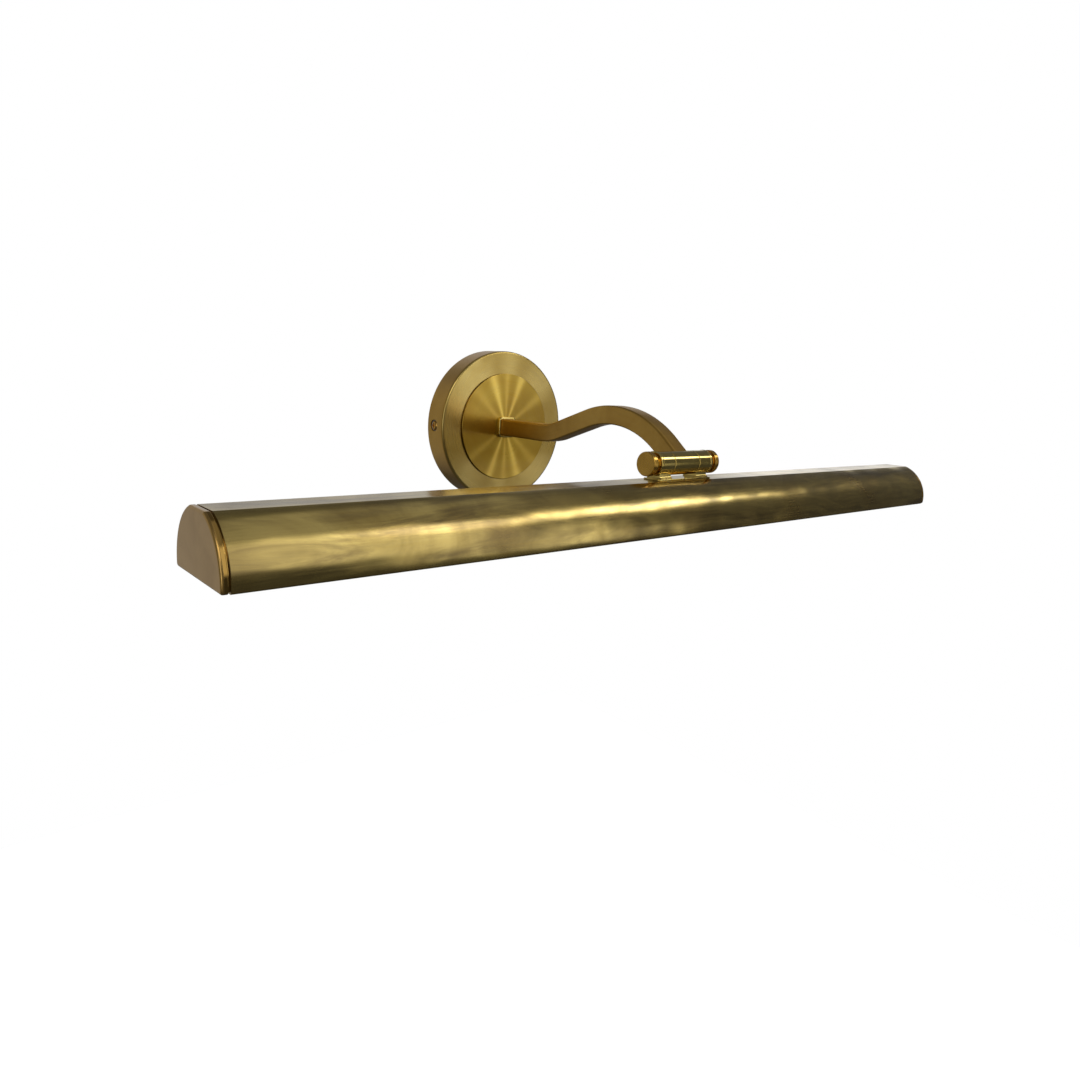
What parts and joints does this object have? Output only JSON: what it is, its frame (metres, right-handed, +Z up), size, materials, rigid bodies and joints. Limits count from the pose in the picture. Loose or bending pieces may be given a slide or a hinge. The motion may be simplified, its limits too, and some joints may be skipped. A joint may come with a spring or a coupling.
{
  "type": "picture light",
  "caption": "Wall-mounted brass picture light: round wall plate, curved square arm and a long trough shade that tilts on a friction hinge.",
  "frame": {"origin": "middle of the wall bracket's back, on the wall", "axes": "+X along the shade, +Y into the wall, +Z up"},
  "size_m": [0.6, 0.2332, 0.12],
  "materials": {
    "arm_brass": "satin brushed",
    "black_rubber": "matt",
    "blue_sheath": "extruded",
    "brown_sheath": "extruded",
    "clear_glass": "clear",
    "cream_holder": "moulded",
    "earth_sheath": "extruded",
    "lamp_metal": "pressed",
    "plain_brass": "machined",
    "polished_brass": "polished",
    "ptfe": "turned",
    "shade_brass": "polished and aged",
    "spun_brass": "satin spun and lacquered",
    "tungsten": "drawn wire",
    "white_enamel": "white gloss",
    "white_nylon": "moulded",
    "white_sheath": "extruded",
    "zinc_steel": "bright zinc plated"
  },
  "bodies": {
    "wall_base": {"wall_bracket": "zinc_steel", "backplate": "spun_brass", "face_disc": "spun_brass", "side_screws": "plain_brass", "cable_grommet": "black_rubber", "earth_washer": "plain_brass", "earth_screw": "plain_brass", "terminal_block": "white_nylon", "terminal_screws": "zinc_steel", "block_screws": "zinc_steel", "arm_collar": "arm_brass", "arm": "arm_brass", "arm_stem": "plain_brass", "stem_washer": "zinc_steel", "stem_nut": "plain_brass", "supply_lead": "white_sheath", "live_core": "brown_sheath", "neutral_core": "blue_sheath", "earth_core": "earth_sheath", "hinge_barrel": "polished_brass"},
    "shade_head": {"hinge_pin": "plain_brass", "left_knuckle": "polished_brass", "right_knuckle": "polished_brass", "left_hinge_cap": "polished_brass", "right_hinge_cap": "polished_brass", "friction_washers": "ptfe", "hinge_rings": "polished_brass", "hinge_plate": "polished_brass", "hinge_screws": "plain_brass", "shade_shell": "shade_brass", "left_end_cap": "shade_brass", "right_end_cap": "shade_brass", "end_cap_screws": "plain_brass", "reflector": "white_enamel", "left_lamp_bracket": "zinc_steel", "right_lamp_bracket": "zinc_steel", "lampholder_1": "cream_holder", "lampholder_2": "cream_holder", "lampholder_3": "cream_holder", "lampholder_4": "cream_holder", "lamp_cap_1": "lamp_metal", "lamp_cap_2": "lamp_metal", "lamp_cap_3": "lamp_metal", "lamp_cap_4": "lamp_metal", "lamp_glass_1": "clear_glass", "lamp_glass_2": "clear_glass", "lamp_glass_3": "clear_glass", "lamp_glass_4": "clear_glass", "holder_nipples": "zinc_steel", "nipple_nuts": "zinc_steel", "holder_sleeves": "plain_brass", "holder_contacts": "plain_brass", "lamp_filaments": "tungsten", "shade_terminal": "white_nylon", "shade_terminal_screws": "zinc_steel", "shade_lead": "white_sheath", "live_leads": "brown_sheath", "neutral_leads": "blue_sheath"}
  },
  "joints": [
    {"name": "shade_tilt", "type": "hinge", "parent": "wall_base", "child": "shade_head", "pos_m": [0, -0.205, -0.0079], "axis": [1, 0, 0], "range_deg": [-40, 50]}
  ]
}
